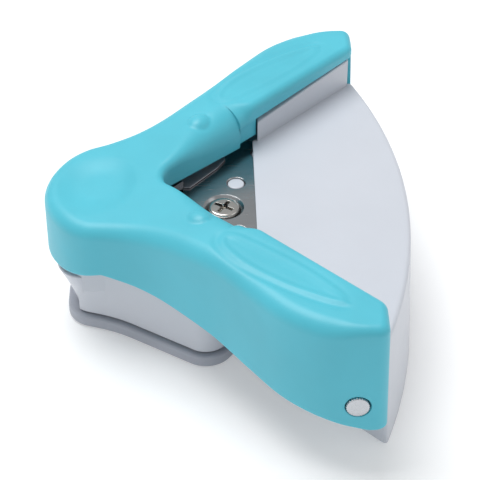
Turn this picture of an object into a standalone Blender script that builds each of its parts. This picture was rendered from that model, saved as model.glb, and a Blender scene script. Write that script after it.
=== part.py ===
"""Corner rounder: a lever-operated punch that cuts the corner of a sheet to a radius.

Axes: +X runs from the lever's thumb end to the fan-shaped tray, Y is the symmetry direction and
+Z is up. The origin is on the table, straight below the corner of the sheet when the sheet is
pushed home between the fences. Lengths are in metres.
"""

import math

import bmesh
import bpy
from mathutils import Matrix, Vector
from mathutils.geometry import delaunay_2d_cdt

# Cut and sheet guides
CUT_RADIUS = 0.0040            # radius left on the sheet's corner
FENCE_X = (0.0205, 0.0402)     # the fences' extent along X
FENCE_WIDTH = 0.0026           # fence width measured along Y
FENCE_TOP = (0.02945, 0.0315)  # fence height at its two ends
TRAY_TOP = 0.0250
TRAY_EDGE_X = 0.0195           # the tray's straight edge over the die plate
TRAY_SHEET = 0.0018
FAN_CENTRE_X = -0.0636
FAN_RADIUS = 0.1128
FAN_DRAFT = 0.0012             # how much the wall's foot stands out from its top
FAN_SIDE_TOP = 0.0010          # the fan's top has its flanks on |Y| = X + FAN_SIDE_TOP
FAN_SIDE_LOW = -0.0009         # and its walls stand further in, on |Y| = X + FAN_SIDE_LOW
WALL = 0.0018

# Plates
DIE_Z = (0.0226, 0.0240)
STRIP_Z = (0.02415, 0.02435)
PEG_RADIUS = 0.00165
PEG_PLACES = ((0.01585, 0.0077), (0.0209, 0.0177))
DIE_SCREW_X = 0.0133
DIE_SCREW_SEAT_Z = 0.0230      # floor of the shallow seat that the die screw's head sits in
DIE_SCREW_SEAT_RADIUS = 0.0035
DIE_SCREW_HEAD = (0.0030, 0.0010)
STRIP_SCREW = (0.0086, 0.0153)
STRIP_INNER_Y = 0.0060

# Base
DECK_Z = (0.0200, 0.0223)
FOOT_LOW = 0.0030
CAP_TOP = 0.0027
CAP_OVERHANG = 0.0009
FOOT_WALL = 0.0016
GUIDE_BLOCK_Z = (0.0095, 0.0162)
TRAY_SCREW = (0.0270, 0.0090)
TRAY_HOLLOW_X = 0.0250
DECK_END_X = 0.0298
POST_X = (0.0325, 0.0384)
POST_Y = (0.0422, 0.0458)
FOOT_NOSE_X = -0.0157
GUIDE_BLOCK_HALF_WIDTH = 0.0078
LIP_TOP = 0.0096               # top of the flared lip that the pressed thumb end meets
SPRING_POCKET_Z = 0.0105

# Lever
HINGE = Vector((0.0360, 0.0, 0.0165))
ARM_TOP = 0.0345               # top of the arms
THUMB_TOP = 0.0296             # top of the thumb end
THUMB_END_X = -0.0213
ARM_HALF_WIDTH = 0.0484
ARM_END_X = 0.0410
END_FLARE = 0.0009             # how far the arms' end faces lean out by table level
SHELL = 0.0018                 # thickness of the lever's top and skirts
LIP = FENCE_WIDTH + 0.0007     # how far the lever's V edge overhangs the fences
EDGE_RADIUS = 0.0016
V_EDGE = 0.0002                # the lever's V edge is |Y| = X - V_EDGE
WALL_END_X = 0.0169            # where the lever's full inner walls stop
STEP_END_X = 0.0202            # where the stepped-back ends of those walls stop
STEP_BACK = 0.0008
DOME_RADIUS = 0.0020
DOME_HEIGHT = 0.0007
END_WALL_Y = 0.0432            # inner end of the walls that close the arms
PIN_SEAT = 0.0009              # depth of the recess for the pin heads
PRESS_PAD_X = (-0.0052, -0.0006)
PRESS_PAD_HALF_WIDTH = 0.0094
PRESS_PAD_Z = (0.0277, 0.0306)
PRESS_PLATE_X = (-0.0050, -0.0008)
PRESS_PLATE_Z = (0.0266, 0.0274)
PRESS_SCREW = (-0.0028, 0.0034)

# Punch
PUNCH_HALF_WIDTH = 0.0055
PUNCH_Z = (0.0246, 0.0263)
PUNCH_BACK_X = -0.0061
TONGUE_TOP = 0.0256
TONGUE_HALF_WIDTH = 0.0070
SADDLE_HALF_WIDTH = 0.0076
SADDLE_BOTTOM = 0.0211
LEG_BOTTOM = 0.0094
LEG_X = (-0.0120, -0.0070)
LEG_HALF_WIDTH = 0.0024
DIE_GAP = 0.00015
CARRIER_X = (-0.0130, -0.0064)
SPRING_PLACE = (-0.0095, 0.0050)
STOP_WASHER = (0.0028, 0.0008)

# Pins and fits
PIN_RADIUS = 0.0015
PIN_HEAD_RADIUS = 0.0022
RUNNING_GAP = 0.00006
GAP = 0.0003
SCREW_GAP = 0.00015
ROUND_STEPS = 24
ARC_STEP = math.radians(15)
SIDES = ((1, "far"), (-1, "near"))

COLOURS = {
    "turquoise": ((0.16, 0.60, 0.70), 0.35, 0.0),
    "white": ((0.82, 0.84, 0.90), 0.35, 0.0),
    "gray": ((0.33, 0.35, 0.38), 0.50, 0.0),
    "steel": ((0.55, 0.56, 0.57), 0.30, 1.0),
    "tool_steel": ((0.20, 0.21, 0.22), 0.35, 1.0),
    "nickel": ((0.70, 0.69, 0.66), 0.22, 1.0),
    "natural": ((0.70, 0.70, 0.66), 0.45, 0.0),
}


# Outlines in plan

def rounded(corners):
    """Polygon from (x, y, radius) corners, counter-clockwise, with each corner as an arc."""
    points = []
    count = len(corners)
    for i in range(count):
        before = Vector(corners[i - 1][:2])
        here = Vector(corners[i][:2])
        after = Vector(corners[(i + 1) % count][:2])
        radius = corners[i][2]
        if radius == 0:
            points.append(here)
            continue
        incoming = (here - before).normalized()
        outgoing = (after - here).normalized()
        turn = math.atan2(incoming.cross(outgoing), incoming.dot(outgoing))
        reach = radius * math.tan(abs(turn) / 2)
        start = here - incoming * reach
        side = math.copysign(1.0, turn)
        centre = start + Vector((-incoming.y, incoming.x)) * radius * side
        steps = max(2, math.ceil(abs(turn) / ARC_STEP))
        for k in range(steps + 1):
            angle = turn * k / steps
            arm = start - centre
            points.append(centre + Matrix.Rotation(angle, 2) @ arm)
    return points


def mirrored(half):
    """Full corner list from the corners on the +Y side, listed from the +X end to the -X end."""
    other = [(x, -y, radius) for x, y, radius in reversed(half)]
    return half + other


def inset(points, distance):
    """The outline moved inwards by a distance, with mitred corners."""
    moved = []
    count = len(points)
    for i in range(count):
        before = (points[i] - points[i - 1]).normalized()
        after = (points[(i + 1) % count] - points[i]).normalized()
        normal = Vector((-before.y, before.x)) + Vector((-after.y, after.x))
        normal.normalize()
        reach = distance / max(0.3, normal.dot(Vector((-before.y, before.x))))
        moved.append(points[i] + normal * reach)
    return moved


def smooth_path(knots, steps):
    """Catmull-Rom curve that ends square to the X axis, without its last point."""
    padded = [knots[0] * 2 - knots[1]] + knots + [Vector((knots[-2].x, -knots[-2].y))]
    path = []
    for i in range(1, len(padded) - 2):
        a, b, c, d = padded[i - 1:i + 3]
        for k in range(steps):
            t = k / steps
            path.append(0.5 * (2 * b + (c - a) * t + (2 * a - 5 * b + 4 * c - d) * t ** 2
                               + (3 * b - a - 3 * c + d) * t ** 3))
    return path


def lever_outline():
    """Plan of the lever: thumb end, two arms and the V between them."""
    flank = [(0.0370, ARM_HALF_WIDTH), (0.0325, 0.0480), (0.0280, 0.0464), (0.0225, 0.0425),
             (0.0170, 0.0362), (0.0110, 0.0289), (0.0050, 0.0232), (0.0005, 0.0195),
             (-0.0040, 0.0168), (-0.0090, 0.0149), (-0.0138, 0.0134), (-0.0175, 0.0103),
             (-0.0203, 0.0053), (THUMB_END_X, 0.0)]
    far_side = smooth_path([Vector(p) for p in flank], 3)
    near_side = [Vector((p.x, -p.y)) for p in reversed(far_side[1:])]
    tip = ARM_END_X - V_EDGE
    straight = flank[0][0]
    v_corners = [(straight, -ARM_HALF_WIDTH, 0), (ARM_END_X, -ARM_HALF_WIDTH, 0.0020),
                 (ARM_END_X, -tip, 0.0030), (V_EDGE, 0.0, 0.0040), (ARM_END_X, tip, 0.0030),
                 (ARM_END_X, ARM_HALF_WIDTH, 0.0020), (straight, ARM_HALF_WIDTH, 0)]
    return rounded(v_corners)[:-1] + far_side + [Vector(flank[-1])] + near_side


def foot_outline():
    """Plan of the foot: a rounded triangle with slightly hollow flanks."""
    half = [(0.0170, 0.0135, 0.0050), (0.0108, 0.0218, 0.0055), (-0.0085, 0.0093, 0.0300),
            (-0.0181, 0.0062, 0.0058)]
    return rounded(mirrored(half))


def foot_ring(distance):
    """The foot's plan moved inwards, with its nose cut straight above the cap."""
    nose = FOOT_NOSE_X + distance - CAP_OVERHANG
    return [Vector((max(p.x, nose), p.y)) for p in inset(foot_outline(), distance)]


def punch_outline(clearance=0.0):
    """Plan of the cutting end: its front edge wraps the rounded corner of the sheet."""
    radius = CUT_RADIUS - clearance
    centre_x = CUT_RADIUS * math.sqrt(2)
    half_width = PUNCH_HALF_WIDTH + clearance
    tip_x = half_width + clearance * math.sqrt(2)
    back = PUNCH_BACK_X - clearance
    arc = []
    for k in range(11):
        angle = math.radians(225 - 9 * k)
        arc.append(Vector((centre_x + radius * math.cos(angle), radius * math.sin(angle))))
    low = [Vector((back, -half_width)), Vector((tip_x, -half_width))]
    high = [Vector((tip_x, half_width)), Vector((back, half_width))]
    return low + arc + high


# Heights

def lever_top(x):
    """Height of the lever's top: level arms that sweep down to the thumb end."""
    t = min(1.0, max(0.0, (x + 0.016) / 0.032))
    return THUMB_TOP + (ARM_TOP - THUMB_TOP) * t * t * (3 - 2 * t)


def skirt_bottom(x):
    """Height of the skirt's lower edge: it rises towards the thumb end and dips at its tip."""
    arm = max(0.0105, 0.0127 - 0.26 * (x - 0.0297))
    rising = 0.0127 - 0.158 * (x - 0.0297)
    falling = 0.0190 + 0.27 * (x + 0.0105)
    return min(arm, rising, falling)


def flared(points):
    """The lever's plan at table level: the arms' end faces lean outwards."""
    start = ARM_END_X - 0.0025
    return [Vector((p.x + END_FLARE * max(0.0, p.x - start) / (ARM_END_X - start), p.y))
            for p in points]


def lever_underside(x):
    return lever_top(x) - SHELL


def wall_bottom(x):
    """Lower edge of the lever's inner walls: it clears the strips when the lever is pressed."""
    return 0.02575 + 0.085 * (WALL_END_X - x)


def lip_bottom(x):
    """Lower edge of the lips over the fences."""
    return 0.0307 + 0.06 * (x - FENCE_X[0])


# Solids

def flat(points, z):
    return [Vector((p[0], p[1], z)) for p in points]


def fill(bm, ring, height):
    """Close a ring of vertices with triangles that follow a height given along X."""
    spacing = 0.0050
    outline = [v.co.to_2d() for v in ring]
    count = len(outline)
    low = Vector((min(p.x for p in outline), min(p.y for p in outline)))
    high = Vector((max(p.x for p in outline), max(p.y for p in outline)))
    inner = []
    for i in range(1, math.ceil((high.x - low.x) / spacing)):
        for j in range(1, math.ceil((high.y - low.y) / spacing)):
            inner.append(Vector((low.x + i * spacing, low.y + j * spacing)))
    inner = [p for p in inner if inside(p, outline) and clear_of(p, outline, spacing * 0.5)]
    edges = [(i, (i + 1) % count) for i in range(count)]
    result = delaunay_2d_cdt(outline + inner, edges, [], 1, 1e-7)
    verts = {}
    for index, sources in enumerate(result[3]):
        source = sources[0]
        if source < count:
            verts[index] = ring[source]
        else:
            p = inner[source - count]
            verts[index] = bm.verts.new((p.x, p.y, height(p.x)))
    for face in result[2]:
        bm.faces.new([verts[i] for i in face])


def inside(point, outline):
    """Whether a point lies inside an outline."""
    odd = False
    for a, b in zip(outline, outline[1:] + outline[:1]):
        if (a.y > point.y) != (b.y > point.y):
            if point.x < a.x + (b.x - a.x) * (point.y - a.y) / (b.y - a.y):
                odd = not odd
    return odd


def clear_of(point, outline, distance):
    return all((point - p).length > distance for p in outline)


def loft(rings, top_height=None):
    """Closed solid through stacked closed rings of equal length, listed upwards."""
    bm = bmesh.new()
    rows = [[bm.verts.new(p) for p in ring] for ring in rings]
    count = len(rows[0])
    for lower, upper in zip(rows, rows[1:]):
        for i in range(count):
            j = (i + 1) % count
            bm.faces.new((lower[i], lower[j], upper[j], upper[i]))
    caps = [bm.faces.new(rows[0][::-1])]
    if top_height is None:
        caps.append(bm.faces.new(rows[-1]))
    else:
        fill(bm, rows[-1], top_height)
    bmesh.ops.triangulate(bm, faces=caps)
    bmesh.ops.recalc_face_normals(bm, faces=bm.faces)
    return bm


def prism(points, z):
    return loft([flat(points, z[0]), flat(points, z[1])])


def block(x, y, z):
    return prism([(x[0], y[0]), (x[1], y[0]), (x[1], y[1]), (x[0], y[1])], z)


def circle(centre, radius, steps=ROUND_STEPS):
    return [Vector((centre[0] + radius * math.cos(math.tau * k / steps),
                    centre[1] + radius * math.sin(math.tau * k / steps))) for k in range(steps)]


def turned(place, profile, steps=ROUND_STEPS):
    """Solid of revolution about a vertical line, from (radius, z) pairs listed upwards."""
    return loft([flat(circle(place, radius, steps), z) for radius, z in profile])


def side_cylinder(radius, x, y, z, steps=ROUND_STEPS):
    """Cylinder along Y between the two y values."""
    bm = turned((0, 0), ((radius, y[0]), (radius, y[1])), steps)
    bm.transform(Matrix(((1, 0, 0, x), (0, 0, 1, 0), (0, -1, 0, z), (0, 0, 0, 1))))
    return bm


def ridge(profile, y):
    """Prism along Y with a polygon given in X and Z."""
    bm = prism(profile, y)
    bm.transform(Matrix(((1, 0, 0, 0), (0, 0, 1, 0), (0, 1, 0, 0), (0, 0, 0, 1))))
    bmesh.ops.recalc_face_normals(bm, faces=bm.faces)
    return bm


# Objects

def material(name):
    made = bpy.data.materials.get(name)
    if made is None:
        colour, roughness, metallic = COLOURS[name]
        made = bpy.data.materials.new(name)
        made.use_nodes = True
        shader = made.node_tree.nodes["Principled BSDF"]
        shader.inputs["Base Color"].default_value = (*colour, 1.0)
        shader.inputs["Roughness"].default_value = roughness
        shader.inputs["Metallic"].default_value = metallic
        made.diffuse_color = (*colour, 1.0)
    return made


def piece(name, bm, finish, body=None):
    """Object for one sub-part, parented to its body's empty where it moves."""
    mesh = bpy.data.meshes.new(name)
    bm.to_mesh(mesh)
    bm.free()
    mesh.materials.append(material(finish))
    mesh.shade_smooth()
    mesh.set_sharp_from_angle(angle=math.radians(35))
    made = bpy.data.objects.new(name, mesh)
    bpy.context.collection.objects.link(made)
    if body is not None:
        made.parent = body
        made.location = -body.location
    return made


def shape(target, bm, operation, label):
    """Boolean modifier on the target, with its tool kept as a hidden wire object."""
    mesh = bpy.data.meshes.new(f"{target.name}_{label}")
    bm.to_mesh(mesh)
    bm.free()
    tool = bpy.data.objects.new(mesh.name, mesh)
    bpy.context.collection.objects.link(tool)
    tool.hide_render = True
    tool.hide_set(True)
    tool.display_type = "WIRE"
    modifier = target.modifiers.new(label, "BOOLEAN")
    modifier.operation = operation
    modifier.object = tool
    modifier.solver = "EXACT"


def cut(target, bm, label):
    shape(target, bm, "DIFFERENCE", label)


def join(target, bm, label):
    shape(target, bm, "UNION", label)


def body_axis(name, place):
    """Empty at the axis of a moving body."""
    empty = bpy.data.objects.new(name, None)
    empty.location = place
    bpy.context.collection.objects.link(empty)
    return empty


def cross_recess(place, top, reach, width, depth):
    """The two slots of a Phillips recess."""
    x, y = place
    z = (top - depth, top + GAP)
    half = width / 2
    return (block((x - reach, x + reach), (y - half, y + half), z),
            block((x - half, x + half), (y - reach, y + reach), z))


def screw(name, place, profile, finish, recess=None, body=None, steps=ROUND_STEPS):
    made = piece(name, turned(place, profile, steps), finish, body)
    if recess is not None:
        for label, bm in zip(("slot_a", "slot_b"), cross_recess(place, *recess)):
            cut(made, bm, label)
    return made


# Lever

def build_lever(body):
    outline = lever_outline()
    rings = [flat(flared(outline), 0.0)]
    for k in range(4):
        angle = math.radians(90 * k / 3)
        ring = inset(outline, EDGE_RADIUS * (1 - math.cos(angle)))
        drop = EDGE_RADIUS * (1 - math.sin(angle))
        rings.append([Vector((p.x, p.y, lever_top(p.x) - drop)) for p in ring])
    shell = piece("lever_shell", loft(rings, lever_top), "turquoise", body)
    cavity = inset(outline, SHELL)
    ceiling = [Vector((p.x, p.y, lever_underside(p.x))) for p in cavity]
    cut(shell, loft([flat(flared(cavity), 0.0), ceiling], lever_underside), "hollow")

    spine = [ARM_END_X + 0.0025 * (1 - k) for k in range(27)]
    edge = [Vector((x, skirt_bottom(x))) for x in spine]
    trim = [Vector((spine[0], -0.008))] + edge + [Vector((spine[-1], -0.008))]
    cut(shell, ridge(trim, (-0.060, 0.060)), "skirt_edge")

    half = [(END_WALL_Y - LIP, END_WALL_Y), (STEP_END_X, STEP_END_X + LIP),
            (STEP_END_X, STEP_END_X + STEP_BACK), (WALL_END_X, WALL_END_X + STEP_BACK)]
    far = [(0.0460, END_WALL_Y)] + half
    window = far + [(x, -y) for x, y in reversed(far)]
    lifted = [Vector((x, y, lip_bottom(x))) for x, y in window]
    cut(shell, loft([flat(window, -0.0040), lifted]), "fence_window")
    step_bottom = wall_bottom(WALL_END_X) + 0.0006
    for side, label in SIDES:
        plan = [(WALL_END_X, (WALL_END_X - GAP) * side), (STEP_END_X + GAP, STEP_END_X * side),
                (STEP_END_X + GAP, (STEP_END_X + LIP) * side),
                (WALL_END_X, (WALL_END_X + LIP) * side)][::side]
        cut(shell, prism(plan, (-0.0040, step_bottom)), f"step_{label}")
    reach = WALL_END_X + 0.0005
    vertex = [(reach, -reach - LIP), (reach, reach + LIP), (-LIP, 0.0)]
    lifted = [Vector((x, y, wall_bottom(x))) for x, y in vertex]
    cut(shell, loft([flat(vertex, -0.003), lifted]), "wall_edge")

    join(shell, block(PRESS_PAD_X, (-PRESS_PAD_HALF_WIDTH, PRESS_PAD_HALF_WIDTH), PRESS_PAD_Z),
         "press_pad")
    for side, label in SIDES:
        x, y = STRIP_SCREW[0], STRIP_SCREW[1] * side
        base = lever_top(x) - 0.0005
        rise = DOME_HEIGHT + 0.0005
        profile = [(DOME_RADIUS, base - 0.0003)]
        for degrees in (0, 30, 58, 80):
            angle = math.radians(degrees)
            profile.append((DOME_RADIUS * math.cos(angle), base + rise * math.sin(angle)))
        join(shell, turned((x, y), profile, 16), f"dome_{label}")
        hole = sorted((0.0440 * side, 0.0500 * side))
        cut(shell, side_cylinder(PIN_RADIUS + RUNNING_GAP, HINGE.x, hole, HINGE.z),
            f"pin_hole_{label}")
        seat = sorted(((ARM_HALF_WIDTH - PIN_SEAT) * side, 0.0500 * side))
        cut(shell, side_cylinder(PIN_HEAD_RADIUS + GAP, HINGE.x, seat, HINGE.z),
            f"pin_seat_{label}")
        place = (PRESS_SCREW[0], PRESS_SCREW[1] * side)
        top = PRESS_PAD_Z[0] + 0.0011
        hole = ((0.00105, PRESS_PAD_Z[0] - 0.001), (0.00105, top))
        cut(shell, turned(place, hole, 16), f"press_screw_hole_{label}")


def build_press_plate(body):
    bottom, top = PRESS_PLATE_Z
    half_width = PUNCH_HALF_WIDTH - GAP
    plate = piece("press_plate", block(PRESS_PLATE_X, (-half_width, half_width), (bottom, top)),
                  "steel", body)
    shank, wide = 0.0009, 0.0014
    for side, label in SIDES:
        place = (PRESS_SCREW[0], PRESS_SCREW[1] * side)
        cone_top = bottom + wide - shank
        hole = ((wide + SCREW_GAP, bottom - 0.001), (wide + SCREW_GAP, bottom),
                (shank + SCREW_GAP, cone_top), (shank + SCREW_GAP, top + 0.001))
        cut(plate, turned(place, hole, 20), f"hole_{label}")
        head = ((wide, bottom), (shank, cone_top), (shank, PRESS_PAD_Z[0] + 0.0009))
        piece(f"press_screw_{label}", turned(place, head, 20), "nickel", body)


# Punch and its carrier

def build_punch(body):
    bottom, top = PUNCH_Z
    blade = piece("punch_blade", prism(punch_outline(), (bottom, top)), "tool_steel", body)
    link_half = PUNCH_HALF_WIDTH - 0.0001
    link = block((CARRIER_X[1] - 0.001, PUNCH_BACK_X + 0.001), (-link_half, link_half),
                 (bottom, TONGUE_TOP))
    join(blade, link, "link")
    tongue = block((CARRIER_X[0] + 0.0004, CARRIER_X[1]),
                   (-TONGUE_HALF_WIDTH, TONGUE_HALF_WIDTH), (bottom, TONGUE_TOP))
    join(blade, tongue, "tongue")

    seat = bottom - GAP
    saddle = block(CARRIER_X, (-SADDLE_HALF_WIDTH, SADDLE_HALF_WIDTH), (SADDLE_BOTTOM, seat))
    column = piece("punch_carrier", saddle, "natural", body)
    leg = block(LEG_X, (-LEG_HALF_WIDTH, LEG_HALF_WIDTH), (LEG_BOTTOM, SADDLE_BOTTOM + 0.001))
    join(column, leg, "leg")
    hole = ((0.0010, LEG_BOTTOM - 0.001), (0.0010, LEG_BOTTOM + 0.0050))
    cut(column, turned((SPRING_PLACE[0], 0), hole, 16), "stop_screw_hole")

    for side, label in SIDES:
        place = (SPRING_PLACE[0], SPRING_PLACE[1] * side)
        shank, wide = 0.0009, 0.0019
        cone = wide - shank
        profile = [(shank, seat - 0.0028), (shank, TONGUE_TOP - cone * 0.8), (wide, TONGUE_TOP)]
        piece(f"blade_screw_{label}", turned(place, profile, 20), "nickel", body)
        gap = SCREW_GAP
        opening = [(shank + gap, bottom - 0.001), (shank + gap, TONGUE_TOP - cone * 0.8),
                   (wide + gap, TONGUE_TOP), (wide + gap, TONGUE_TOP + 0.001)]
        cut(blade, turned(place, opening, 20), f"countersink_{label}")
        blind = ((shank + gap, seat - 0.0031), (shank + gap, seat + 0.001))
        cut(column, turned(place, blind, 16), f"screw_hole_{label}")

    stop = (SPRING_PLACE[0], 0)
    washer_top = LEG_BOTTOM - GAP
    washer_radius, washer_height = STOP_WASHER
    washer_bottom = washer_top - washer_height
    washer = turned(stop, ((washer_radius, washer_bottom), (washer_radius, washer_top)))
    ring = piece("stop_washer", washer, "steel", body)
    hole = ((0.00105, washer_bottom - 0.001), (0.00105, washer_top + 0.001))
    cut(ring, turned(stop, hole, 20), "bore")
    under = washer_bottom - SCREW_GAP
    shank = 0.00085
    head = [(0.0010, under - 0.0011), (0.0017, under - 0.0009), (0.0017, under),
            (shank, under), (shank, LEG_BOTTOM + 0.0046)]
    piece("stop_screw", turned(stop, head, 24), "nickel", body)


def build_spring(label, side):
    """Compression coil standing in the guide block's pocket."""
    wire, coil, turns = 0.00022, 0.00145, 7
    low = SPRING_POCKET_Z + GAP + wire
    high = SADDLE_BOTTOM - GAP - wire
    around, sides = 12, 5
    count = turns * around
    bm = bmesh.new()
    rings = []
    for i in range(count + 1):
        angle = math.tau * i / around
        radial = Vector((math.cos(angle), math.sin(angle), 0))
        rise = (high - low) * i / count
        centre = radial * coil + Vector((SPRING_PLACE[0], SPRING_PLACE[1] * side, low + rise))
        ring = []
        for k in range(sides):
            turn = math.tau * k / sides
            ring.append(bm.verts.new(centre + radial * wire * math.cos(turn)
                                     + Vector((0, 0, wire * math.sin(turn)))))
        rings.append(ring)
    for a, b in zip(rings, rings[1:]):
        for k in range(sides):
            bm.faces.new((a[k], a[(k + 1) % sides], b[(k + 1) % sides], b[k]))
    bm.faces.new(rings[0])
    bm.faces.new(rings[-1])
    bmesh.ops.recalc_face_normals(bm, faces=bm.faces)
    piece(f"return_spring_{label}", bm, "steel")


# Plates

def build_plates():
    half = [(0.0240, 0.0220, 0.001), (0.0120, 0.0220, 0.003), (0.0030, 0.0172, 0.003),
            (-0.0060, 0.0112, 0.001)]
    die = piece("die_plate", prism(rounded(mirrored(half)), DIE_Z), "steel")
    through = (DIE_Z[0] - 0.001, DIE_Z[1] + 0.001)
    notch = [Vector((p.x - 0.004 if p.x < 0 else p.x, p.y)) for p in punch_outline(DIE_GAP)]
    cut(die, prism(notch, through), "cutting_edge")
    drill(die, (DIE_SCREW_X, 0), 0.00165, through, "die_screw")
    seat = ((DIE_SCREW_SEAT_RADIUS - 0.0003, DIE_SCREW_SEAT_Z), (DIE_SCREW_SEAT_RADIUS, DIE_Z[1]),
            (DIE_SCREW_SEAT_RADIUS, through[1]))
    cut(die, turned((DIE_SCREW_X, 0), seat), "die_screw_seat")
    low = DIE_SCREW_SEAT_Z + SCREW_GAP
    head_radius, head_height = DIE_SCREW_HEAD
    profile = pan_head(low, head_radius, head_height, 0.00145, 0.0160)
    screw("die_screw", (DIE_SCREW_X, 0), profile, "nickel",
          (low + head_height, 0.0019, 0.0008, 0.0007))
    for side, label in SIDES:
        for number, (x, y) in enumerate(PEG_PLACES):
            drill(die, (x, y * side), PEG_RADIUS + SCREW_GAP, through, f"peg_{label}_{number}")
        place = (STRIP_SCREW[0], STRIP_SCREW[1] * side)
        drill(die, place, 0.00135, through, f"strip_screw_{label}")
        corners = [(0.0059, STRIP_INNER_Y), (0.0067, STRIP_INNER_Y), (0.0122, 0.0124),
                   (0.0138, 0.0152), (0.0132, 0.0216), (0.0035, 0.0170), (-0.0040, 0.0120),
                   (-0.0040, STRIP_INNER_Y)]
        outline = [Vector((x, y * side)) for x, y in corners]
        strip = piece(f"guide_strip_{label}", prism(outline[::side], STRIP_Z), "steel")
        through_strip = (STRIP_Z[0] - 0.001, STRIP_Z[1] + 0.001)
        drill(strip, place, 0.00135, through_strip, "screw")
        low = STRIP_Z[1] + SCREW_GAP
        screw(f"guide_screw_{label}", place, pan_head(low, 0.0022, 0.0009, 0.0011, 0.0180),
              "nickel", (low + 0.0009, 0.0012, 0.0004, 0.0005), steps=24)


def drill(target, place, radius, z, label):
    cut(target, turned(place, ((radius, z[0]), (radius, z[1])), 16), f"hole_{label}")


def pan_head(low, radius, height, shank, tip):
    """Profile of a pan-head screw whose head rests at the given height."""
    return [(shank * 0.6, tip), (shank, tip + 0.0008), (shank, low), (radius, low),
            (radius, low + height * 0.45), (radius * 0.88, low + height * 0.85),
            (radius * 0.66, low + height)]


# Tray

def fan_outline(radius, side_width, edge_x):
    """Plan of the fan between its straight edge and its arc; its flanks follow |Y| = X + width."""
    low_y = edge_x + side_width
    offset = FAN_CENTRE_X + side_width
    far_y = (offset + math.sqrt(2 * radius ** 2 - offset ** 2)) / 2
    far_angle = math.asin(far_y / radius)
    arc = []
    steps = 28
    for k in range(steps + 1):
        angle = far_angle * (2 * k / steps - 1)
        arc.append(Vector((FAN_CENTRE_X + radius * math.cos(angle), radius * math.sin(angle))))
    return [Vector((edge_x, low_y)), Vector((edge_x, -low_y))] + arc


def build_tray():
    rim = 0.0006
    walls_top, sheet_bottom = 0.0160, 0.0215
    wide = fan_outline(FAN_RADIUS + FAN_DRAFT, FAN_SIDE_LOW, TRAY_EDGE_X)
    middle = fan_outline(FAN_RADIUS + FAN_DRAFT * (1 - walls_top / TRAY_TOP), FAN_SIDE_LOW,
                         TRAY_EDGE_X)
    sheet = fan_outline(FAN_RADIUS + FAN_DRAFT * (1 - sheet_bottom / TRAY_TOP), FAN_SIDE_TOP,
                        TRAY_EDGE_X)
    narrow = fan_outline(FAN_RADIUS, FAN_SIDE_TOP, TRAY_EDGE_X)
    bevelled = fan_outline(FAN_RADIUS - rim, FAN_SIDE_TOP, TRAY_EDGE_X)
    rings = [flat(wide, 0.0), flat(middle, walls_top), flat(sheet, sheet_bottom),
             flat(narrow, TRAY_TOP - rim), flat(bevelled, TRAY_TOP)]
    tray = piece("fan_tray", loft(rings), "white")
    room = FAN_SIDE_LOW - WALL * math.sqrt(2)
    inner_low = fan_outline(FAN_RADIUS + FAN_DRAFT - WALL, room, TRAY_HOLLOW_X)
    inner_high = fan_outline(FAN_RADIUS - WALL, room, TRAY_HOLLOW_X)
    hollow = loft([flat(inner_low, -0.001), flat(inner_high, TRAY_TOP - TRAY_SHEET)])
    cut(tray, hollow, "hollow")
    cut(tray, block((0.0100, DECK_END_X + 0.0006), (-0.0400, 0.0400),
                    (-0.001, DECK_Z[1] + GAP)), "deck_room")
    cut(tray, block((0.0100, 0.0243), (-0.0400, 0.0400), (0.0200, DIE_Z[1] + GAP)), "die_room")
    for side_sign, label in SIDES:
        corners = [(FENCE_X[0], 0.0), (FENCE_X[1], 0.0), (FENCE_X[1], FENCE_WIDTH),
                   (FENCE_X[0], FENCE_WIDTH)]
        outline = [Vector((x, (x + offset) * side_sign)) for x, offset in corners][::side_sign]
        low = flat(outline, TRAY_TOP - 0.0005)
        slope = (FENCE_TOP[1] - FENCE_TOP[0]) / (FENCE_X[1] - FENCE_X[0])
        top = [Vector((p.x, p.y, FENCE_TOP[0] + slope * (p.x - FENCE_X[0]))) for p in outline]
        join(tray, loft([low, top]), f"fence_{label}")
        place = (TRAY_SCREW[0], TRAY_SCREW[1] * side_sign)
        drill(tray, place, 0.0012, (0.0200, TRAY_TOP - 0.0006), f"screw_{label}")
        under = DECK_Z[0] - SCREW_GAP
        head = [(0.0012, under - 0.0014), (0.0021, under - 0.0011), (0.0021, under),
                (0.00105, under), (0.00105, TRAY_TOP - 0.0009)]
        piece(f"tray_screw_{label}", turned(place, head, 24), "nickel")


# Base

def deck_outline():
    """Plan of the deck: it carries the plates and runs out to the two hinge posts."""
    side = [(0.0060, 0.0196), (0.0120, 0.0256), (0.0180, 0.0330), (0.0240, 0.0395),
            (0.0300, 0.0434), (0.0345, 0.0455), (POST_X[1], POST_Y[1]),
            (POST_X[1], POST_Y[0]), (POST_X[0], POST_Y[0]), (POST_X[0], 0.0351),
            (DECK_END_X, 0.0326)]
    back = [(-0.0147, 0.0075), (-0.0060, 0.0116), (0.0005, 0.0152)]
    far = [Vector(p) for p in back + side]
    near = [Vector((p.x, -p.y)) for p in reversed(far)]
    return (far + near)[::-1]


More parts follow.
